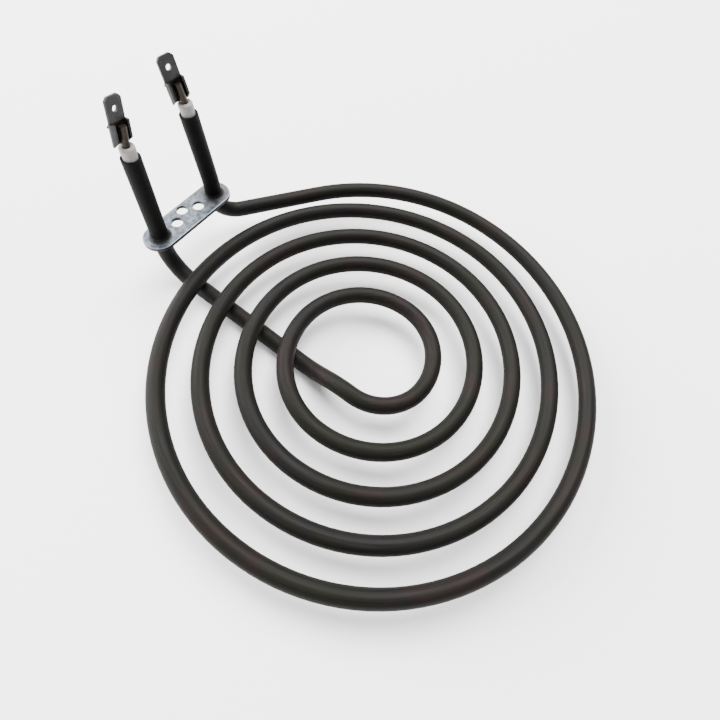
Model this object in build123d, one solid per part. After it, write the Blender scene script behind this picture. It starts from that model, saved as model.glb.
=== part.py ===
# Tubular heating element: one sheathed tube wound into a flat spiral, with two legs through a small plate.
#
# Millimetres. +Z points up along the legs. The origin is the centre of the plate's upper face, which is
# the face that seats against the wall it is fixed to. +Y runs from the left leg to the right one, and the
# spiral lies out along +X. The left leg ends in the straight lead that runs under the turns to the inner
# loop, and the right leg ends in the straight tail of the outer turn.
from build123d import *
import os
from dataclasses import dataclass, field
from math import asin, atan2, cos, degrees, pi, radians, sin

# ---- sheath ----
TUBE_DIAMETER = 6.5
TUBE_WALL = 0.7
LEG_SPACING = 29.0  # between the two leg axes
LEFT_LEG_HEIGHT = 38.9  # from the plate's upper face to the left tube end
RIGHT_LEG_HEIGHT = 38.3  # the same for the right tube end
COLD_BORE_DEPTH = 28.0  # bored length of each leg, down from the tube end
LEAN_START = 4.0  # the right leg is straight up to here, then leans
LEAN_ANGLE = 4.8  # degrees off the vertical
LEAN_AZIMUTH = 214.0  # the way it leans, in degrees from +X towards +Y
LEAN_BEND_RADIUS = 60.0

# ---- spiral ----
COIL_DROP = 12.1  # plate's upper face to the middle plane of the turns
COIL_REACH = 95.5  # leg line to the centre of the inner loop, along X
COIL_OFFSET = -0.6  # the same centre, along Y
INNER_RADIUS = 18.9  # first quarter of the inner loop
LOOP_RADIUS = 24.4  # second quarter, opened out
INNER_PITCH = 16.4  # outward growth over the rest of the first turn
COIL_PITCH = 14.85  # outward growth of every later turn
QUARTERS_PER_TURN = 4
INNER_QUARTERS = 4  # quarter turns that grow by the inner pitch
TOTAL_QUARTERS = 18  # quarter turns before the exit bend
EXIT_RADIUS = 79.3  # last stretch of the outer turn, before the tail
LEAD_GAP = 0.3  # free height between the lead and the turns above it
LEAD_BEND_RADIUS = 13.0  # between the left leg and the lead
TAIL_BEND_RADIUS = 10.2  # between the tail and the right leg
RISE_LENGTH = 26.0  # the lead climbs into the inner loop over this length
RISE_SHIFT = 1.1  # and moves sideways by this much as it climbs

# ---- mounting plate ----
PLATE_LENGTH = 42.1
PLATE_WIDTH = 12.5
PLATE_THICKNESS = 1.5
PLATE_EDGE_ROUND = 0.3  # upper rim only, as the punch leaves it
LEG_HOLE_CLEARANCE = 0.05  # on the radius
SCREW_HOLE_DIAMETER = 4.6  # clears an M4 screw
SCREW_HOLE_SPACING = 11.4  # the two holes on the plate's centre line
PILOT_HOLE_SETBACK = 3.1  # the third hole, behind the centre line

# ---- ends: bead, seal, pin, helix ----
BEAD_NECK_DIAMETER = 4.7
BEAD_NECK_LENGTH = 1.8  # part of the neck that shows above the tube
BEAD_SEAT_DEPTH = 5.0  # part of the neck inside the tube
BEAD_HEAD_DIAMETER = 5.1
BEAD_HEAD_LENGTH = 2.8
BEAD_ROUND = 0.7  # of the head's upper edge
SEAL_LENGTH = 3.5  # resin under the bead
PIN_DIAMETER = 2.5
PIN_CLEARANCE = 0.05  # on the radius, in the bead
PIN_DEPTH = 24.0  # below the tube end, with the nipple
NIPPLE_DIAMETER = 1.5  # the pin's turned-down inner end
NIPPLE_LENGTH = 5.0
HELIX_DIAMETER = 3.0  # outside the winding

# ---- tab terminals ----
TAB_WIDTH = 6.3
TAB_THICKNESS = 0.8
TAB_LENGTH = 7.7  # from the trough to the tip
TAB_TIP_CHAMFER = 1.1
TAB_CORNER_ROUND = 0.7
TAB_HOLE_DIAMETER = 2.0
TAB_HOLE_SETBACK = 3.9  # from the tip
TROUGH_WIDTH = 7.2  # outside
TROUGH_DEPTH = 3.1  # from its back to the rim of its wings, on the sheet's middle
TROUGH_LENGTH = 7.6
TROUGH_ROUND = 1.4  # of the folds, on the sheet's middle
TROUGH_OPENING = 5.0  # between the rims of the wings
TROUGH_STEP = 1.0  # how far the trough's back lies behind the tab's back
WING_CUT = 1.7  # corner cut off the lower end of each wing
RAMP_LENGTH = 1.6  # of the joggle between trough and tab
PIN_OFFSET = 0.7  # of the pin's line from the trough's middle, across the tab
PIN_BEND_RADIUS = 3.0  # where the pin leaves the bead
CUT_MARGIN = 1.0  # how far a cut runs past what it cuts

# Each terminal leans where the pin leaves the bead, by degrees towards +X and towards +Y, and is twisted
# about its own length by degrees clockwise from above.
LEFT_TERMINAL_LEAN = (-4.5, 13.2)
LEFT_TERMINAL_TWIST = -10.0
RIGHT_TERMINAL_LEAN = (-14.3, 0.3)
RIGHT_TERMINAL_TWIST = 3.8

# ---- derived ----
TUBE_RADIUS = TUBE_DIAMETER / 2
BORE_DIAMETER = TUBE_DIAMETER - 2 * TUBE_WALL
QUARTER = 360 / QUARTERS_PER_TURN
COIL_Z = -COIL_DROP
LEAD_Z = COIL_Z - TUBE_DIAMETER - LEAD_GAP
LEFT_LEG = Vector(0, -LEG_SPACING / 2)
RIGHT_LEG = Vector(0, LEG_SPACING / 2)
UP = Vector(0, 0, 1)


def polar(length, angle):
    """A vector in the plane, by its length and its angle in radians."""
    return Vector(length * cos(angle), length * sin(angle))


def tangent_heading(start, centre, radius, side):
    """Heading of the straight from a point to a circle that it leaves on its left (1) or right (-1)."""
    reach = centre - start
    return atan2(reach.Y, reach.X) - side * asin(radius / reach.length)


@dataclass
class Pen:
    """Draws a tangent route of straights and arcs, and keeps its edges."""

    place: Vector
    heading: Vector
    edges: list = field(default_factory=list)

    def run(self, length):
        """Go straight on."""
        end = self.place + self.heading * length
        self.edges.append(Edge.make_line(self.place, end))
        self.place = end

    def turn(self, axis, radius, angle):
        """Turn about an axis by an angle in degrees, to the left where it is positive."""
        side = 1 if angle > 0 else -1
        centre = self.place + axis.cross(self.heading) * (radius * side)
        spoke = self.place - centre
        middle = centre + spoke.rotate(Axis((0, 0, 0), axis), angle / 2)
        end = centre + spoke.rotate(Axis((0, 0, 0), axis), angle)
        self.edges.append(Edge.make_three_point_arc(self.place, middle, end))
        self.place = end
        self.heading = self.heading.rotate(Axis((0, 0, 0), axis), angle)


def quarter_radius(quarter):
    """Radius of a quarter turn, counted outwards from 0. The exit bend follows the last quarter."""
    if quarter == 0:
        return INNER_RADIUS
    if quarter == TOTAL_QUARTERS:
        return EXIT_RADIUS
    inner = min(quarter, INNER_QUARTERS) - 1
    outer = max(quarter - INNER_QUARTERS, 0)
    return LOOP_RADIUS + (inner * INNER_PITCH + outer * COIL_PITCH) / QUARTERS_PER_TURN


def spiral_arcs():
    """Radius and sweep of each arc of the spiral, with both tangent headings, all from the plan view."""
    centre = Vector(COIL_REACH, COIL_OFFSET)
    lead_offset = INNER_RADIUS - RISE_SHIFT
    lead_heading = tangent_heading(LEFT_LEG, centre, lead_offset, 1)
    lead_length = ((centre - LEFT_LEG).length ** 2 - lead_offset**2) ** 0.5
    angle = lead_heading - pi / 2
    radius = INNER_RADIUS
    arcs = []
    for quarter in range(TOTAL_QUARTERS):
        arcs.append((radius, QUARTER))
        angle += radians(QUARTER)
        next_radius = quarter_radius(quarter + 1)
        centre = centre - polar(next_radius - radius, angle)
        radius = next_radius
    tail_heading = tangent_heading(RIGHT_LEG, centre, radius, -1)
    tail_length = ((centre - RIGHT_LEG).length ** 2 - radius**2) ** 0.5
    exit_sweep = (tail_heading + pi / 2 - angle) % (2 * pi)
    arcs.append((radius, degrees(exit_sweep)))
    return arcs, lead_heading, lead_length, tail_heading, tail_length


def tube_route():
    """The sheath's centre line from the left tube end to the right one."""
    arcs, lead_heading, lead_length, tail_heading, tail_length = spiral_arcs()
    pen = Pen(LEFT_LEG + UP * LEFT_LEG_HEIGHT, -UP)
    pen.run(LEFT_LEG_HEIGHT - LEAD_Z - LEAD_BEND_RADIUS)
    lead_side = UP.cross(polar(1, lead_heading))
    pen.turn(lead_side, LEAD_BEND_RADIUS, -QUARTER)
    pen.run(lead_length - LEAD_BEND_RADIUS - RISE_LENGTH)
    rise = UP * (COIL_Z - LEAD_Z) - lead_side * RISE_SHIFT
    climb = 2 * atan2(rise.length, RISE_LENGTH)
    climb_radius = RISE_LENGTH / (2 * sin(climb))
    climb_axis = rise.normalized().cross(pen.heading)
    pen.turn(climb_axis, climb_radius, -degrees(climb))
    pen.turn(climb_axis, climb_radius, degrees(climb))
    for radius, sweep in arcs:
        pen.turn(UP, radius, sweep)
    pen.run(tail_length - TAIL_BEND_RADIUS)
    tail_side = UP.cross(pen.heading)
    pen.turn(tail_side, TAIL_BEND_RADIUS, -QUARTER)
    pen.run(LEAN_START - COIL_Z - TAIL_BEND_RADIUS)
    lean_axis = UP.cross(polar(1, radians(LEAN_AZIMUTH)))
    pen.turn(lean_axis, LEAN_BEND_RADIUS, LEAN_ANGLE)
    pen.run((RIGHT_LEG_HEIGHT - pen.place.Z) / pen.heading.Z)
    return pen


def leg_plane(end, axis):
    """The plane across a tube end, with its z along the leg and its y as near +Y as it can be."""
    across = Vector(0, 1, 0).cross(axis)
    return Plane(origin=end, x_dir=across, z_dir=axis)


def upright_cylinder(radius, bottom, top):
    """A cylinder on the local z axis between two heights."""
    return Pos(0, 0, bottom) * Cylinder(radius, top - bottom, align=(Align.CENTER, Align.CENTER, Align.MIN))


ROUTE = tube_route()
LEFT_END = leg_plane(LEFT_LEG + UP * LEFT_LEG_HEIGHT, UP)
RIGHT_END = leg_plane(ROUTE.place, ROUTE.heading)


def make_sheath():
    """The whole tube, bored at its two cold ends."""
    path = Wire(ROUTE.edges)
    section = LEFT_END * Circle(TUBE_RADIUS)
    tube = sweep(section, path=path)
    bore = upright_cylinder(BORE_DIAMETER / 2, -COLD_BORE_DEPTH, CUT_MARGIN)
    return tube - LEFT_END * bore - RIGHT_END * bore


def make_plate():
    """Oblong plate: two leg holes, two screw holes on the centre line and a third hole behind it."""
    blank = SlotOverall(PLATE_LENGTH, PLATE_WIDTH, rotation=90)
    for leg in (LEFT_LEG, RIGHT_LEG):
        blank -= Pos(leg) * Circle(TUBE_RADIUS + LEG_HOLE_CLEARANCE)
    half = SCREW_HOLE_SPACING / 2
    for x, y in ((0, -half), (0, half), (-PILOT_HOLE_SETBACK, 0)):
        blank -= Pos(x, y) * Circle(SCREW_HOLE_DIAMETER / 2)
    plate = extrude(blank, amount=-PLATE_THICKNESS)
    rim = plate.faces().sort_by(Axis.Z)[-1].outer_wire().edges()
    return fillet(rim, PLATE_EDGE_ROUND)


def make_bead():
    """Stepped ceramic bead on the local z axis, with z = 0 at the tube end."""
    top = BEAD_NECK_LENGTH + BEAD_HEAD_LENGTH
    step = (BEAD_HEAD_DIAMETER - BEAD_NECK_DIAMETER) / 2
    head = upright_cylinder(BEAD_HEAD_DIAMETER / 2, BEAD_NECK_LENGTH, top)
    head = fillet(head.edges().group_by(Axis.Z)[-1], BEAD_ROUND)
    head = chamfer(head.edges().group_by(Axis.Z)[0], step)
    neck = upright_cylinder(BEAD_NECK_DIAMETER / 2, -BEAD_SEAT_DEPTH, BEAD_NECK_LENGTH + step)
    hole = upright_cylinder(PIN_DIAMETER / 2 + PIN_CLEARANCE, -BEAD_SEAT_DEPTH, top)
    return head + neck - hole


def make_seal():
    """Resin plug between the bead and the powder."""
    bottom = -BEAD_SEAT_DEPTH - SEAL_LENGTH
    plug = upright_cylinder(BORE_DIAMETER / 2, bottom, -BEAD_SEAT_DEPTH)
    return plug - upright_cylinder(PIN_DIAMETER / 2, bottom, -BEAD_SEAT_DEPTH)


def make_helix():
    """Outer form of the resistance wire from the nipple down to the heated stretch."""
    top = NIPPLE_LENGTH - PIN_DEPTH
    winding = upright_cylinder(HELIX_DIAMETER / 2, -COLD_BORE_DEPTH, top)
    return winding - upright_cylinder(NIPPLE_DIAMETER / 2, -PIN_DEPTH, top)


def make_filling():
    """Compacted powder round the pin and the winding."""
    top = -BEAD_SEAT_DEPTH - SEAL_LENGTH
    shoulder = NIPPLE_LENGTH - PIN_DEPTH
    core = upright_cylinder(BORE_DIAMETER / 2, -COLD_BORE_DEPTH, top)
    core -= upright_cylinder(PIN_DIAMETER / 2, shoulder, top)
    return core - upright_cylinder(HELIX_DIAMETER / 2, -COLD_BORE_DEPTH, shoulder)


def terminal_axis(lean):
    """Unit vector up a terminal that leans by two angles, towards +X and towards +Y."""
    across, along = (radians(angle) for angle in lean)
    return Vector(sin(across) / cos(across), sin(along) / cos(along), 1).normalized()


def make_pin(end, lean):
    """Pin from its nipple up through the bead and round the slight bend into the trough."""
    bead_top = BEAD_NECK_LENGTH + BEAD_HEAD_LENGTH
    pen = Pen(end.from_local_coords(Vector(0, 0, NIPPLE_LENGTH - PIN_DEPTH)), end.z_dir)
    pen.run(PIN_DEPTH - NIPPLE_LENGTH + bead_top)
    axis = terminal_axis(lean)
    bend_axis = pen.heading.cross(axis).normalized()
    pen.turn(bend_axis, PIN_BEND_RADIUS, pen.heading.get_angle(axis))
    seat = pen.place
    pen.run(TROUGH_LENGTH - RAMP_LENGTH)
    section = end * Pos(0, 0, NIPPLE_LENGTH - PIN_DEPTH) * Circle(PIN_DIAMETER / 2)
    shank = sweep(section, path=Wire(pen.edges))
    nipple = end * upright_cylinder(NIPPLE_DIAMETER / 2, -PIN_DEPTH, NIPPLE_LENGTH - PIN_DEPTH)
    return shank + nipple, seat


def slab(points, width):
    """A solid with an outline in x and z, of the given width about y = 0."""
    return extrude(Plane.XZ * Polygon(*points, align=None), amount=width / 2, both=True)


def make_terminal():
    """Flat tab joggled forward from an open trough. Local z runs up the pin, x faces out of the trough."""
    floor = -PIN_DIAMETER / 2
    back = floor - TAB_THICKNESS
    tab_back = back + TROUGH_STEP
    tab_front = tab_back + TAB_THICKNESS
    joggle = TROUGH_LENGTH - RAMP_LENGTH

    fold_x = back + TAB_THICKNESS / 2
    fold_y = (TROUGH_WIDTH - TAB_THICKNESS) / 2
    rim_x = back + TROUGH_DEPTH
    rim_y = (TROUGH_OPENING + TAB_THICKNESS) / 2
    corners = [(rim_x, -rim_y), (fold_x, -fold_y), (fold_x, fold_y), (rim_x, rim_y)]
    fold = FilletPolyline(*corners, radius=TROUGH_ROUND)
    trough = extrude(trace(fold, TAB_THICKNESS), amount=TROUGH_LENGTH)
    corner = rim_x + CUT_MARGIN
    cut = WING_CUT + CUT_MARGIN
    cut_width = TROUGH_WIDTH + CUT_MARGIN
    trough -= slab([(corner, 0), (corner, cut), (corner - cut, 0)], cut_width)
    trough -= slab([(back, joggle), (tab_back, TROUGH_LENGTH), (back, TROUGH_LENGTH)], cut_width)
    ramp_outline = [(back, joggle), (floor, joggle), (tab_front, TROUGH_LENGTH), (tab_back, TROUGH_LENGTH)]
    ramp = slab(ramp_outline, TAB_WIDTH)

    tip = TROUGH_LENGTH + TAB_LENGTH
    outline = Pos(0, TROUGH_LENGTH + TAB_LENGTH / 2) * Rectangle(TAB_WIDTH, TAB_LENGTH)
    outline = chamfer(outline.vertices().group_by(Axis.Y)[-1], TAB_TIP_CHAMFER)
    by_height = outline.vertices().group_by(Axis.Y)
    outline = fillet(by_height[-1] + by_height[-2], TAB_CORNER_ROUND)
    outline -= Pos(0, tip - TAB_HOLE_SETBACK) * Circle(TAB_HOLE_DIAMETER / 2)
    blade = extrude(Plane.YZ.offset(tab_back) * outline, amount=TAB_THICKNESS)
    return trough + ramp + blade


def terminal_location(seat, lean, twist):
    """Where a terminal's own frame sits: at its trough's lower end, beside the pin's axis."""
    axis = terminal_axis(lean)
    forward = Vector(0, 1, 0).cross(axis)
    return Plane(origin=seat, x_dir=forward, z_dir=axis).rotated((0, 0, -twist)) * Pos(0, -PIN_OFFSET)


os.makedirs("parts", exist_ok=True)
export_step(make_sheath(), "parts/sheath_tube.step")
export_step(make_plate(), "parts/mounting_plate.step")
ends = {
    "left": (LEFT_END, LEFT_TERMINAL_LEAN, LEFT_TERMINAL_TWIST),
    "right": (RIGHT_END, RIGHT_TERMINAL_LEAN, RIGHT_TERMINAL_TWIST),
}
bead = make_bead()
terminal = make_terminal()
for name, (end, lean, twist) in ends.items():
    pin, seat = make_pin(end, lean)
    export_step(pin, f"parts/terminal_pin_{name}.step")
    export_step(end * bead, f"parts/ceramic_bead_{name}.step")
    export_step(end * make_seal(), f"parts/end_seal_{name}.step")
    export_step(terminal_location(seat, lean, twist) * terminal, f"parts/tab_terminal_{name}.step")
export_step(Compound([end * make_helix() for end, _, _ in ends.values()]), "parts/resistance_coil.step")
export_step(Compound([end * make_filling() for end, _, _ in ends.values()]), "parts/magnesia_filling.step")
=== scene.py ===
"""Looks, light and camera of a flat spiral heating element, round its fixed solid frame."""
import logging
from dataclasses import dataclass
from enum import Enum
from math import radians
from typing import Any, Union

import bmesh
import bpy
from mathutils import Matrix, Vector


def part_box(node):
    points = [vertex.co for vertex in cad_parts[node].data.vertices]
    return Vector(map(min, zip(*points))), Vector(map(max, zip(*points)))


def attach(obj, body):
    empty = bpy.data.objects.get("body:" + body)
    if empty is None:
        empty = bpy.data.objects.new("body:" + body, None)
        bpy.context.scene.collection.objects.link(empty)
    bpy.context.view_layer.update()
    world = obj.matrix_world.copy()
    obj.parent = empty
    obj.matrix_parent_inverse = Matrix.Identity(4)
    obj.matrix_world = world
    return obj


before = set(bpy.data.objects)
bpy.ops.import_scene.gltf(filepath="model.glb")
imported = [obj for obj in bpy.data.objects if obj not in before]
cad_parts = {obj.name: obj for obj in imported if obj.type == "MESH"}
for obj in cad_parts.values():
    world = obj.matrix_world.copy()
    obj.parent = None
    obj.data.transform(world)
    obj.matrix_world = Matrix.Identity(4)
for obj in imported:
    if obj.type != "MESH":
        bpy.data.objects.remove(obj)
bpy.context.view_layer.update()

LOG = logging.getLogger("heating_element")
BODY = "root"
MM = 0.001
QUARTER_TURN = radians(90)
FULL_TURN = radians(360)
SQUARED = 2.0
NOISE_MEAN = 0.5
Colour = tuple[float, float, float]
Place = tuple[float, float, float]
Span = tuple[float, float]


class Side(Enum):
    """The two ends of the tube, by the leg's place along Y in millimetres."""

    LEFT = -14.5
    RIGHT = 14.5

    @property
    def label(self) -> str:
        """The word used in node names."""
        return self.name.lower()


class Flow(Enum):
    """The way a drawn tube's fine marks run in each stretch."""

    LEG = "along Z"
    TURN = "round the coil's centre"
    LEAD = "along X"


# ---------------------------------------------------------------- shader kit


class Mixing(Enum):
    """What a Mix node mixes, with the places of its two inputs and of its result."""

    COLOURS = ("RGBA", 6, 7, 2)
    VECTORS = ("VECTOR", 4, 5, 1)


@dataclass(frozen=True)
class Pattern:
    """Settings of one soft noise: lumps per unit, octaves, and the weight of the finer ones."""

    scale: float
    detail: float
    rough: float


class Value:
    """A number in a shader. Arithmetic on it adds Math nodes."""

    def __init__(self, graph: "Graph", socket: bpy.types.NodeSocket) -> None:
        """Wrap one output socket of a graph."""
        self.graph = graph
        self.socket = socket

    def _math(self, operation: str, *operands: "Number") -> "Value":
        """Add one Math node.

        Args:
            operation: The Math node's operation.
            operands: Its inputs in order, as values or numbers.

        Returns:
            The node's result.
        """
        node = self.graph.add("ShaderNodeMath", {"operation": operation}, dict(enumerate(operands)))
        return Value(self.graph, node.outputs[0])

    def __add__(self, other: "Number") -> "Value":
        """Sum."""
        return self._math("ADD", self, other)

    __radd__ = __add__

    def __sub__(self, other: "Number") -> "Value":
        """Difference."""
        return self._math("SUBTRACT", self, other)

    def __mul__(self, other: "Number") -> "Value":
        """Product."""
        return self._math("MULTIPLY", self, other)

    __rmul__ = __mul__

    def __truediv__(self, other: "Number") -> "Value":
        """Quotient."""
        return self._math("DIVIDE", self, other)

    def __pow__(self, other: "Number") -> "Value":
        """Power."""
        return self._math("POWER", self, other)

    def root(self) -> "Value":
        """Square root."""
        return self._math("SQRT", self)

    def reach(self, other: "Value") -> "Value":
        """Distance of the point (self, other) from the origin."""
        return (self ** SQUARED + other ** SQUARED).root()

    def angle_from(self, across: "Value") -> "Value":
        """Angle of the point (across, self) about the origin."""
        return self._math("ARCTAN2", self, across)

    def most(self, other: "Number") -> "Value":
        """The larger of the two."""
        return self._math("MAXIMUM", self, other)

    def rise(self, span: Span) -> "Value":
        """Smooth step from 0 at the span's first number to 1 at its second."""
        low, high = span
        sockets = {"Value": self, "From Min": low, "From Max": high}
        node = self.graph.add("ShaderNodeMapRange", {"interpolation_type": "SMOOTHSTEP"}, sockets)
        return Value(self.graph, node.outputs["Result"])


Number = Union[Value, float]
Input = Union[Value, float, Colour, bpy.types.NodeSocket]


class Graph:
    """A material's node tree round one Principled shader."""

    def __init__(self, name: str) -> None:
        """Start a material with a bare Principled shader."""
        self.material = bpy.data.materials.new(name)
        self.material.use_nodes = True
        self.tree = self.material.node_tree
        self.shader = self.tree.nodes["Principled BSDF"]

    def add(
        self, kind: str, settings: dict[str, Any], sockets: dict[Any, Input]
    ) -> bpy.types.Node:
        """Add one node.

        Args:
            kind: The node's type.
            settings: Its own properties, set before its sockets. "stops" fills a colour ramp.
            sockets: A value, colour or link for each input, by name or place.

        Returns:
            The new node.
        """
        node = self.tree.nodes.new(kind)
        for key, setting in settings.items():
            if key == "stops":
                self._fill_ramp(node.color_ramp, setting)
            else:
                setattr(node, key, setting)
        for key, given in sockets.items():
            self.feed(node.inputs[key], given)
        return node

    def _fill_ramp(self, ramp: bpy.types.ColorRamp, stops: list[tuple[float, Colour]]) -> None:
        """Give a ramp its stops, each a place and a colour."""
        while len(ramp.elements) < len(stops):
            ramp.elements.new(1.0)
        for element, (place, colour) in zip(ramp.elements, stops):
            element.position = place
            element.color = (*colour, 1.0)

    def feed(self, socket: bpy.types.NodeSocket, given: Input) -> None:
        """Link or set one input socket."""
        if isinstance(given, Value):
            self.tree.links.new(given.socket, socket)
        elif isinstance(given, bpy.types.NodeSocket):
            self.tree.links.new(given, socket)
        elif isinstance(given, tuple) and socket.type == "RGBA":
            socket.default_value = (*given, 1.0)
        else:
            socket.default_value = given

    def position(self) -> tuple[Value, Value, Value]:
        """The surface point's X, Y and Z in millimetres."""
        coordinates = self.add("ShaderNodeTexCoord", {}, {})
        parts = self.add("ShaderNodeSeparateXYZ", {}, {0: coordinates.outputs["Object"]})
        x, y, z = (Value(self, output) / MM for output in parts.outputs)
        return x, y, z

    def vector(self, x: Number, y: Number, z: Number) -> bpy.types.NodeSocket:
        """Join three numbers into a vector."""
        return self.add("ShaderNodeCombineXYZ", {}, {0: x, 1: y, 2: z}).outputs[0]

    def noise(self, place: bpy.types.NodeSocket, pattern: Pattern) -> Value:
        """Soft noise between about 0 and 1, read at a point."""
        sockets = {
            "Vector": place,
            "Scale": pattern.scale,
            "Detail": pattern.detail,
            "Roughness": pattern.rough,
        }
        return Value(self, self.add("ShaderNodeTexNoise", {}, sockets).outputs["Fac"])

    def cells(self, place: bpy.types.NodeSocket, scale: float) -> Value:
        """Distance to the nearest of many scattered points."""
        node = self.add("ShaderNodeTexVoronoi", {}, {"Vector": place, "Scale": scale})
        return Value(self, node.outputs["Distance"])

    def ramp(self, at: Value, stops: list[tuple[float, Colour]]) -> bpy.types.NodeSocket:
        """A colour that follows a number through a list of stops."""
        return self.add("ShaderNodeValToRGB", {"stops": stops}, {0: at}).outputs["Color"]

    def blend(
        self, factor: Number, first: Input, second: Input, mixing: Mixing = Mixing.COLOURS
    ) -> bpy.types.NodeSocket:
        """Mix two colours or two vectors.

        Args:
            factor: 0 for all of the first, 1 for all of the second.
            first: What is mixed from.
            second: What is mixed in.
            mixing: What the two are.

        Returns:
            The mixture.
        """
        kind, first_input, second_input, result = mixing.value
        sockets = {0: factor, first_input: first, second_input: second}
        return self.add("ShaderNodeMix", {"data_type": kind}, sockets).outputs[result]

    def relief(self, height: Value, depth: float) -> None:
        """Bump the shader by a height between 0 and 1 that stands for a depth in millimetres."""
        sockets = {"Strength": 1.0, "Distance": depth * MM, "Height": height}
        node = self.add("ShaderNodeBump", {}, sockets)
        self.feed(self.shader.inputs["Normal"], node.outputs["Normal"])

    def surface(self, **sockets: Input) -> None:
        """Set the shader's own sockets, by their names with underscores for spaces."""
        for key, given in sockets.items():
            self.feed(self.shader.inputs[key.replace("_", " ")], given)


# ---------------------------------------------------------------- finishes
#
# In every finish a "span" is the reading at which a layer starts and the one at which it is full,
# a "share" is the most that the layer covers, and a "depth" is in millimetres.


@dataclass(frozen=True)
class Finish:
    """A named surface of the element."""

    name: str

    def paint(self, graph: Graph) -> None:
        """Fill the graph."""
        raise NotImplementedError

    def material(self) -> bpy.types.Material:
        """Build the material."""
        graph = Graph(self.name)
        self.paint(graph)
        return graph.material


@dataclass(frozen=True)
class OxidisedTube(Finish):
    """Satin tube steel, darkened by annealing and by its own heat."""

    centre: tuple[float, float] = (93.0, -1.0)
    turns_top: float = -8.85
    leg_fade: float = 6.0
    lead_top: float = -15.5
    lead_fade: float = 1.0
    steel: Colour = (0.0054, 0.0050, 0.0046)
    olive: Colour = (0.0054, 0.0053, 0.0035)
    plum: Colour = (0.0088, 0.0047, 0.0045)
    black: Colour = (0.0004, 0.0004, 0.0004)
    scuffed: Colour = (0.018, 0.0172, 0.0162)
    stretch: float = 0.03
    turn_radius: float = 50.0
    drawn: Pattern = Pattern(2.2, 4.0, 0.62)
    patches: Pattern = Pattern(0.045, 3.0, 0.55)
    tint: Pattern = Pattern(0.06, 2.0, 0.5)
    grain: Pattern = Pattern(5.0, 3.0, 0.6)
    olive_span: Span = (0.42, 0.58)
    plum_span: Span = (0.52, 0.64)
    plum_share: float = 0.65
    speck_scale: float = 1.3
    speck_span: Span = (0.16, 0.08)
    speck_grain: Span = (0.45, 0.6)
    speck_share: float = 0.55
    scuff_span: Span = (0.5, 0.74)
    scuff_share: float = 0.3
    soot_span: Span = (0.48, 0.3)
    soot_share: float = 0.5
    leg_share: float = 0.9
    metallic: float = 0.1
    specular: float = 0.085
    rough: float = 0.43
    grain_rough: float = 0.14
    patch_rough: float = 0.12
    leg_rough: float = 0.14
    grain_relief: float = 0.6
    drawn_relief: float = 0.4
    depth: float = 0.05

    def _marks(
        self, graph: Graph, flow: Flow, x: Value, y: Value, z: Value
    ) -> bpy.types.NodeSocket:
        """Coordinates that stretch a pattern along the tube.

        Args:
            graph: The material's graph.
            flow: The way the tube runs.
            x: Point's X in millimetres.
            y: Point's Y.
            z: Point's Z.

        Returns:
            The stretched point.
        """
        if flow is Flow.LEG:
            return graph.vector(x, y, z * self.stretch)
        if flow is Flow.LEAD:
            return graph.vector(x * self.stretch, y, z)
        across = x - self.centre[0]
        along = y - self.centre[1]
        turn = along.angle_from(across) * self.turn_radius * self.stretch
        return graph.vector(across.reach(along), turn, z)

    def paint(self, graph: Graph) -> None:
        """Mottled dark oxide with plum heat tints, drawn marks and blacker legs."""
        x, y, z = graph.position()
        place = graph.vector(x, y, z)
        leg = z.rise((self.turns_top, self.turns_top + self.leg_fade))
        lead = z.rise((self.lead_top, self.lead_top - self.lead_fade))
        on_turn, on_lead, on_leg = (
            self._marks(graph, flow, x, y, z) for flow in (Flow.TURN, Flow.LEAD, Flow.LEG)
        )
        flat = graph.blend(lead, on_turn, on_lead, Mixing.VECTORS)
        drawn = graph.noise(graph.blend(leg, flat, on_leg, Mixing.VECTORS), self.drawn)
        patches = graph.noise(place, self.patches)
        tint = graph.noise(place, self.tint)
        grain = graph.noise(place, self.grain)
        speck = graph.cells(place, self.speck_scale).rise(self.speck_span)
        speck = speck * grain.rise(self.speck_grain)
        base = graph.blend(patches.rise(self.olive_span), self.steel, self.olive)
        for cover, colour in (
            (tint.rise(self.plum_span) * self.plum_share, self.plum),
            (speck * self.speck_share, self.scuffed),
            (drawn.rise(self.scuff_span) * self.scuff_share, self.scuffed),
            (drawn.rise(self.soot_span) * self.soot_share, self.black),
            (leg * self.leg_share, self.black),
        ):
            base = graph.blend(cover, base, colour)
        rough = self.rough + self.grain_rough * grain + self.patch_rough * patches
        graph.surface(
            Base_Color=base,
            Metallic=self.metallic,
            Roughness=rough + self.leg_rough * leg,
            Specular_IOR_Level=self.specular,
        )
        graph.relief(grain * self.grain_relief + drawn * self.drawn_relief, self.depth)


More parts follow.
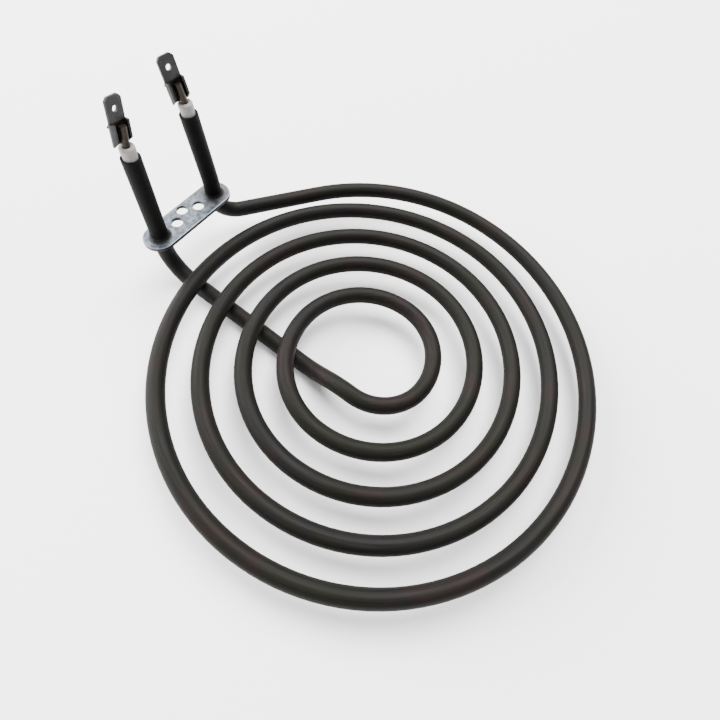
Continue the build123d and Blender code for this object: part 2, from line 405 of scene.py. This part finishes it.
@dataclass(frozen=True)
class ZincPlate(Finish):
    """Bluish zinc, lightly spangled, with a painted dark ring round each leg for the leg's shadow
    and reflection.
    """

    legs: tuple[float, ...] = (Side.LEFT.value, Side.RIGHT.value)
    thickness: float = 1.5
    end_centre: float = 14.8
    half_width: float = 6.25
    zinc: Colour = (0.048, 0.056, 0.067)
    pale: Colour = (0.110, 0.123, 0.138)
    dull: Colour = (0.030, 0.035, 0.042)
    # Painted shadow and reflection of a leg on the plate.
    smoke: Colour = (0.010, 0.010, 0.011)
    # Painted shade for the plate's side walls and hole walls.
    painted_wall_shade: Colour = (0.012, 0.012, 0.012)
    warm: Colour = (0.040, 0.038, 0.039)
    # Painted highlight for the plate's rounded rim.
    painted_rim_highlight: Colour = (0.24, 0.26, 0.285)
    mottle: Pattern = Pattern(0.42, 4.0, 0.6)
    mottle_tone: float = 0.7
    spangle_scale: float = 0.55
    spangle_tone: float = 0.3
    tone_stops: tuple[float, float, float] = (0.28, 0.46, 0.66)
    scratch: Pattern = Pattern(1.6, 3.0, 0.6)
    scratch_squeeze: float = 5.0
    scratch_stretch: float = 0.3
    scratch_span: Span = (0.6, 0.8)
    scratch_share: float = 0.3
    warm_wander: float = 6.0
    warm_span: Span = (7.0, 18.0)
    warm_share: float = 0.6
    ring_edge: Pattern = Pattern(0.5, 2.0, 0.5)
    ring_wander: float = 1.6
    ring_span: Span = (5.9, 3.8)
    ring_share: float = 0.8
    rim_inset: Span = (0.6, 0.1)
    rim_span: Span = (-0.35, -0.1)
    rim_highlight_break: Span = (0.3, 0.55)
    rim_share: float = 0.8
    wall_span: Span = (-0.1, -0.3)
    wall_foot: float = 0.08
    wall_share: float = 0.85
    metallic: float = 0.9
    rough: float = 0.32
    mottle_rough: float = 0.22
    mottle_relief: float = 0.5
    scratch_relief: float = 0.5
    depth: float = 0.04

    def paint(self, graph: Graph) -> None:
        """Spangle, fine scratches, a painted highlight on the rim, painted shade on the walls and a
        painted dark ring of shade and reflection about each leg.
        """
        x, y, z = graph.position()
        place = graph.vector(x, y, z)
        mottle = graph.noise(place, self.mottle)
        spangle = graph.cells(place, self.spangle_scale)
        drawn_out = graph.vector(x * self.scratch_squeeze + y, y * self.scratch_stretch, z)
        scratch = graph.noise(drawn_out, self.scratch)
        tone = mottle * self.mottle_tone + spangle * self.spangle_tone
        base = graph.ramp(tone, list(zip(self.tone_stops, (self.dull, self.zinc, self.pale))))
        edge = graph.noise(place, self.ring_edge) * self.ring_wander
        layers = [
            (scratch.rise(self.scratch_span) * self.scratch_share, self.dull),
            ((y + mottle * self.warm_wander).rise(self.warm_span) * self.warm_share, self.warm),
        ]
        for leg in self.legs:
            # Painted shadow and reflection of the leg: a dark ring on the plate round its foot.
            ring = (x.reach(y - leg) + edge).rise(self.ring_span)
            layers.append((ring * self.ring_share, self.smoke))
        # Painted highlight along the plate's rounded rim, broken up by the scratch noise.
        beyond = ((y ** SQUARED).root() - self.end_centre).most(0.0)
        inner, outer = (self.half_width - inset for inset in self.rim_inset)
        rim = x.reach(beyond).rise((inner, outer)) * z.rise(self.rim_span)
        layers.append((rim * scratch.rise(self.rim_highlight_break) * self.rim_share, self.painted_rim_highlight))
        # Painted shade on the plate's side walls and the walls of the leg holes.
        wall = z.rise(self.wall_span) * z.rise((-self.thickness, self.wall_foot - self.thickness))
        layers.append((wall * self.wall_share, self.painted_wall_shade))
        for cover, colour in layers:
            base = graph.blend(cover, base, colour)
        graph.surface(
            Base_Color=base,
            Metallic=self.metallic,
            Roughness=self.rough + self.mottle_rough * mottle,
        )
        graph.relief(mottle * self.mottle_relief + scratch * self.scratch_relief, self.depth)


@dataclass(frozen=True)
class BrazeAlloy(Finish):
    """Dull braze, dirty with flux, painted black next to the leg for the leg's shade and reflection
    and grading out to the zinc.
    """

    leg: float = Side.LEFT.value
    leg_shade_span: Span = (3.25, 4.5)
    # Painted shade and reflection of the leg at the braze's foot next to it.
    black: Colour = (0.0012, 0.0012, 0.0012)
    alloy: Colour = (0.030, 0.033, 0.038)
    flux: Colour = (0.010, 0.008, 0.005)
    lumps: Pattern = Pattern(1.1, 3.0, 0.6)
    lump_wander: float = 0.8
    stain: Pattern = Pattern(0.8, 2.0, 0.5)
    stain_span: Span = (0.5, 0.7)
    stain_share: float = 0.6
    metallic: float = 0.6
    rough: float = 0.42
    lump_rough: float = 0.25
    depth: float = 0.25

    def paint(self, graph: Graph) -> None:
        """Painted shade going radially from black at the leg to the alloy's grey, broken by lumps,
        and brown flux.
        """
        x, y, z = graph.position()
        place = graph.vector(x, y, z)
        lumps = graph.noise(place, self.lumps)
        stain = graph.noise(place, self.stain)
        reach = x.reach(y - self.leg) + (lumps - NOISE_MEAN) * self.lump_wander
        # Painted shade: black at the leg's foot, fading out to the alloy's own grey.
        base = graph.blend(reach.rise(self.leg_shade_span), self.black, self.alloy)
        base = graph.blend(stain.rise(self.stain_span) * self.stain_share, base, self.flux)
        graph.surface(
            Base_Color=base,
            Metallic=self.metallic,
            Roughness=self.rough + self.lump_rough * lumps,
        )
        graph.relief(lumps, self.depth)


@dataclass(frozen=True)
class Ceramic(Finish):
    """Fine unglazed insulator, off-white with faint grey stains."""

    white: Colour = (0.245, 0.235, 0.222)
    stain: Colour = (0.120, 0.108, 0.094)
    cloud: Pattern = Pattern(0.6, 3.0, 0.6)
    cloud_span: Span = (0.5, 0.8)
    cloud_share: float = 0.35
    speck_scale: float = 2.2
    speck_span: Span = (0.16, 0.06)
    speck_share: float = 0.25
    tube_end: float = 38.3
    foot_height: float = 1.6
    foot_share: float = 0.4
    metallic: float = 0.0
    specular: float = 0.4
    rough: float = 0.5
    cloud_rough: float = 0.2
    grain: Pattern = Pattern(4.0, 3.0, 0.6)
    depth: float = 0.03

    def paint(self, graph: Graph) -> None:
        """Even body, specks, and a dirtier foot near the tube."""
        x, y, z = graph.position()
        place = graph.vector(x, y, z)
        cloud = graph.noise(place, self.cloud)
        specks = graph.cells(place, self.speck_scale)
        foot = z.rise((self.tube_end + self.foot_height, self.tube_end))
        base: Input = self.white
        for cover in (
            cloud.rise(self.cloud_span) * self.cloud_share,
            specks.rise(self.speck_span) * self.speck_share,
            foot * self.foot_share,
        ):
            base = graph.blend(cover, base, self.stain)
        graph.surface(
            Base_Color=base,
            Metallic=self.metallic,
            Roughness=self.rough + self.cloud_rough * cloud,
            Specular_IOR_Level=self.specular,
        )
        graph.relief(graph.noise(place, self.grain), self.depth)


@dataclass(frozen=True)
class DullSheet(Finish):
    """Stamped terminal steel, grey, browned towards its weld."""

    steel: Colour = (0.017, 0.017, 0.0165)
    pale: Colour = (0.034, 0.034, 0.033)
    brown: Colour = (0.030, 0.021, 0.014)
    blotch: Pattern = Pattern(0.35, 4.0, 0.6)
    blotch_span: Span = (0.4, 0.7)
    brush: Pattern = Pattern(1.0, 3.0, 0.6)
    brush_squeeze: float = 4.0
    brush_stretch: float = 0.4
    brush_span: Span = (0.55, 0.8)
    brush_share: float = 0.4
    weld_span: Span = (52.0, 43.0)
    weld_blotch: Span = (0.35, 0.65)
    weld_share: float = 0.7
    metallic: float = 0.7
    rough: float = 0.42
    blotch_rough: float = 0.2
    brush_relief: float = 0.5
    blotch_relief: float = 0.5
    depth: float = 0.03

    def paint(self, graph: Graph) -> None:
        """Brushed grey with blotches, and brown heat tint about the trough."""
        x, y, z = graph.position()
        blotch = graph.noise(graph.vector(x, y, z), self.blotch)
        squeeze = self.brush_squeeze
        drawn_out = graph.vector(x * squeeze, y * squeeze, z * self.brush_stretch)
        brush = graph.noise(drawn_out, self.brush)
        heat = z.rise(self.weld_span) * blotch.rise(self.weld_blotch)
        base = graph.blend(blotch.rise(self.blotch_span), self.steel, self.pale)
        base = graph.blend(brush.rise(self.brush_span) * self.brush_share, base, self.pale)
        base = graph.blend(heat * self.weld_share, base, self.brown)
        graph.surface(
            Base_Color=base,
            Metallic=self.metallic,
            Roughness=self.rough + self.blotch_rough * blotch,
        )
        graph.relief(brush * self.brush_relief + blotch * self.blotch_relief, self.depth)


@dataclass(frozen=True)
class TintedPin(Finish):
    """Cold pin, browned and blued by the weld."""

    stops: tuple[tuple[float, Colour], ...] = (
        (0.30, (0.019, 0.014, 0.010)),
        (0.50, (0.030, 0.023, 0.016)),
        (0.72, (0.024, 0.023, 0.022)),
    )
    bands: Pattern = Pattern(0.5, 3.0, 0.55)
    band_stretch: float = 0.3
    grain: Pattern = Pattern(1.0, 2.0, 0.5)
    grain_squeeze: float = 6.0
    metallic: float = 0.8
    rough: float = 0.36
    grain_rough: float = 0.2
    depth: float = 0.03

    def paint(self, graph: Graph) -> None:
        """Bands of heat colour along the pin."""
        x, y, z = graph.position()
        bands, grain = (
            graph.noise(graph.vector(x * widen, y * widen, z), pattern)
            for widen, pattern in (
                (self.band_stretch, self.bands),
                (self.grain_squeeze, self.grain),
            )
        )
        graph.surface(
            Base_Color=graph.ramp(bands, list(self.stops)),
            Metallic=self.metallic,
            Roughness=self.rough + self.grain_rough * grain,
        )
        graph.relief(grain, self.depth)


@dataclass(frozen=True)
class InnerFill(Finish):
    """Plain stuff inside the tube: powder, resin or wire."""

    light: Colour = (0.7, 0.7, 0.66)
    dark: Colour = (0.5, 0.5, 0.47)
    metallic: float = 0.0
    rough: float = 0.8
    grain: Pattern = Pattern(3.0, 3.0, 0.6)
    grain_rough: float = 0.1
    depth: float = 0.05

    def paint(self, graph: Graph) -> None:
        """Two tones of fine grain."""
        x, y, z = graph.position()
        grain = graph.noise(graph.vector(x, y, z), self.grain)
        graph.surface(
            Base_Color=graph.blend(grain, self.dark, self.light),
            Metallic=self.metallic,
            Roughness=self.rough + self.grain_rough * grain,
        )
        graph.relief(grain, self.depth)


@dataclass(frozen=True)
class PaleFloor(Finish):
    """Matt white paper."""

    paper: Colour = (0.93, 0.93, 0.93)
    rough: float = 0.9
    specular: float = 0.1

    def paint(self, graph: Graph) -> None:
        """One even white."""
        graph.surface(
            Base_Color=self.paper, Roughness=self.rough, Specular_IOR_Level=self.specular
        )


# ---------------------------------------------------------------- the element


def add_object(name: str, data: bpy.types.ID) -> bpy.types.Object:
    """Add an object to the scene."""
    item = bpy.data.objects.new(name, data)
    bpy.context.scene.collection.objects.link(item)
    return item


def add_mesh(name: str, shape: bmesh.types.BMesh, finish: Finish) -> bpy.types.Object:
    """Turn a drawn shape into an object, and free the shape.

    Args:
        name: The object's name.
        shape: What was drawn, in metres.
        finish: What it is finished in.

    Returns:
        The new object.
    """
    mesh = bpy.data.meshes.new(name)
    shape.to_mesh(mesh)
    shape.free()
    mesh.materials.append(finish.material())
    return add_object(name, mesh)


def dress(node: str, finish: Finish) -> None:
    """Give one solid of the frame its finish.

    Args:
        node: The solid's name.
        finish: What it is finished in.
    """
    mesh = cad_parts[node].data
    mesh.materials.clear()
    mesh.materials.append(finish.material())
    LOG.info("dressed %s in %s", node, finish.name)


@dataclass
class CoiledTube:
    """The sheath and the plate that its legs stand through."""

    sheath: Finish = OxidisedTube("oxidised_tube")
    plate: Finish = ZincPlate("zinc_plate")

    def build(self) -> None:
        """Dress both solids."""
        dress("sheath_tube", self.sheath)
        dress("mounting_plate", self.plate)


@dataclass
class BrazeCollar:
    """Run of braze round a leg where it stands through the plate, in millimetres."""

    side: Side
    leg_radius: float = 3.25
    foot: float = 1.15
    height: float = 1.7
    sunk: float = 0.04
    arc_steps: int = 8
    ring_steps: int = 64

    def _profile(self, shape: bmesh.types.BMesh) -> None:
        """Draw the closed section: a hollow arc outside and a sharp corner hidden in the joint."""
        corner = shape.verts.new((self.leg_radius, 0.0, self.foot))
        swept = bmesh.ops.spin(
            shape,
            geom=[corner],
            cent=(self.leg_radius + self.foot, 0.0, self.foot),
            axis=(0, 1, 0),
            angle=-QUARTER_TURN,
            steps=self.arc_steps,
        )
        last = next(item for item in swept["geom_last"] if isinstance(item, bmesh.types.BMVert))
        bmesh.ops.scale(shape, verts=shape.verts, vec=(1, 1, self.height / self.foot))
        foot = shape.verts.new((last.co.x, 0.0, -self.sunk))
        hidden = shape.verts.new((self.leg_radius - self.sunk, 0.0, -self.sunk))
        top = shape.verts.new((self.leg_radius - self.sunk, 0.0, corner.co.z))
        for first, second in ((last, foot), (foot, hidden), (hidden, top), (top, corner)):
            shape.edges.new((first, second))

    def _put_in_order(self, shape: bmesh.types.BMesh) -> None:
        """List the faces in the same order in each run, which the spin operator does not."""
        shape.verts.index_update()
        count = len(shape.verts)

        def rank(face: bmesh.types.BMFace) -> int:
            """Number that differs for each face and depends on its corners alone."""
            number = 0
            for index in sorted(corner.index for corner in face.verts):
                number = number * count + index
            return number

        shape.faces.sort(key=rank)

    def build(self) -> None:
        """Turn the section about the leg and lay it on the plate."""
        shape = bmesh.new()
        self._profile(shape)
        bmesh.ops.spin(
            shape,
            geom=shape.verts[:] + shape.edges[:],
            cent=(0, 0, 0),
            axis=(0, 0, 1),
            angle=FULL_TURN,
            steps=self.ring_steps,
            use_merge=True,
        )
        self._put_in_order(shape)
        bmesh.ops.translate(shape, verts=shape.verts, vec=(0, self.side.value, 0))
        bmesh.ops.scale(shape, verts=shape.verts, vec=(MM, MM, MM))
        for face in shape.faces:
            face.smooth = True
        name = f"braze_collar_{self.side.label}"
        alloy = BrazeAlloy(f"braze_{self.side.label}", self.side.value)
        collar = add_mesh(name, shape, alloy)
        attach(collar, BODY)
        LOG.info("built %s", name)


@dataclass
class TubeEnd:
    """One end of the tube: pin, bead, seal and tab."""

    side: Side
    bead: Finish = Ceramic("ceramic")
    tab: Finish = DullSheet("terminal_steel")
    pin: Finish = TintedPin("tinted_pin")
    seal: Finish = InnerFill(
        "seal_resin",
        light=(0.50, 0.40, 0.26),
        dark=(0.38, 0.28, 0.17),
        rough=0.45,
        grain=Pattern(1.0, 3.0, 0.6),
    )

    def build(self) -> None:
        """Dress the end's solids."""
        for stem, finish in (
            ("ceramic_bead", self.bead),
            ("tab_terminal", self.tab),
            ("terminal_pin", self.pin),
            ("end_seal", self.seal),
        ):
            dress(f"{stem}_{self.side.label}", finish)


@dataclass
class TubeCore:
    """The winding and the powder inside the cold ends."""

    powder: Finish = InnerFill("magnesia")
    wire: Finish = InnerFill(
        "resistance_wire",
        light=(0.34, 0.32, 0.30),
        dark=(0.22, 0.21, 0.20),
        metallic=0.8,
        rough=0.4,
        grain=Pattern(6.0, 3.0, 0.6),
    )

    def build(self) -> None:
        """Dress both solids."""
        dress("resistance_coil", self.wire)
        dress("magnesia_filling", self.powder)


# ---------------------------------------------------------------- the studio


@dataclass(frozen=True)
class Softbox:
    """One square lamp that faces the element. Lengths are in metres, the power in watts."""

    name: str
    way: Place
    distance: float
    size: float
    power: float

    def build(self, target: Vector) -> None:
        """Hang the lamp so far off the target along its way."""
        data = bpy.data.lights.new(self.name, "AREA")
        data.shape = "SQUARE"
        data.size = self.size
        data.energy = self.power
        place = target + Vector(self.way) * self.distance
        lamp = add_object(self.name, data)
        lamp.location = place
        lamp.rotation_euler = (target - place).to_track_quat("-Z", "Y").to_euler()
        LOG.info("hung %s", self.name)


@dataclass(frozen=True)
class Studio:
    """White floor, soft light and the camera, in metres."""

    middle: Place = (0.085, 0.0, -0.012)
    floor_width: float = 6.0
    floor_cells: int = 4
    floor_gap: float = 0.00005
    sky_colour: Colour = (1.0, 1.0, 1.0)
    sky: float = 0.9
    softboxes: tuple[Softbox, ...] = (
        Softbox("key_softbox", (-0.86, 0.02, 0.51), 1.7, 0.9, 75.0),
        Softbox("rim_softbox", (-0.83, -0.55, 0.22), 1.5, 0.8, 32.0),
        Softbox("top_softbox", (-0.3, 0.8, 1.5), 1.0, 1.3, 110.0),
    )
    eye: Place = (0.12519, -0.08502, 0.16311)
    right: Place = (0.82648, 0.54983, 0.12088)
    down: Place = (0.52797, -0.68252, -0.50539)
    lens: float = 25.785
    sensor: float = 36.0
    shift: tuple[float, float] = (-0.02807, -0.05726)
    clip_start: float = 0.01

    def _floor(self) -> None:
        """Lay a square floor just under the lowest point of the solids."""
        shape = bmesh.new()
        cells = self.floor_cells
        bmesh.ops.create_grid(
            shape, x_segments=cells, y_segments=cells, size=self.floor_width / 2
        )
        low = min(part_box(node)[0].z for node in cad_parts)
        centre_x, centre_y, _ = self.middle
        place = (centre_x, centre_y, low - self.floor_gap)
        bmesh.ops.translate(shape, verts=shape.verts, vec=place)
        floor = add_mesh("floor", shape, PaleFloor("pale_floor"))

    def _sky(self) -> None:
        """Light the room evenly in white."""
        world = bpy.data.worlds.new("room")
        world.use_nodes = True
        background = world.node_tree.nodes["Background"]
        background.inputs["Color"].default_value = (*self.sky_colour, 1.0)
        background.inputs["Strength"].default_value = self.sky
        bpy.context.scene.world = world

    def _camera(self) -> None:
        """Set the camera from its own axes."""
        data = bpy.data.cameras.new("camera")
        data.lens = self.lens
        data.sensor_width = self.sensor
        data.sensor_fit = "HORIZONTAL"
        data.shift_x, data.shift_y = self.shift
        data.clip_start = self.clip_start
        right = Vector(self.right).normalized()
        up = (-Vector(self.down)).normalized()
        turn = Matrix((right, up, right.cross(up))).transposed().to_4x4()
        camera = add_object("camera", data)
        camera.matrix_world = Matrix.Translation(self.eye) @ turn
        bpy.context.scene.camera = camera

    def build(self) -> None:
        """Set up floor, light and camera."""
        self._floor()
        self._sky()
        self._camera()
        for softbox in self.softboxes:
            softbox.build(Vector(self.middle))
        LOG.info("studio ready")


def main() -> None:
    """Build everything in order."""
    logging.basicConfig(level=logging.INFO, format="%(message)s")
    Studio().build()
    CoiledTube().build()
    for side in Side:
        BrazeCollar(side).build()
        TubeEnd(side).build()
    TubeCore().build()


if __name__ == "__main__":
    main()
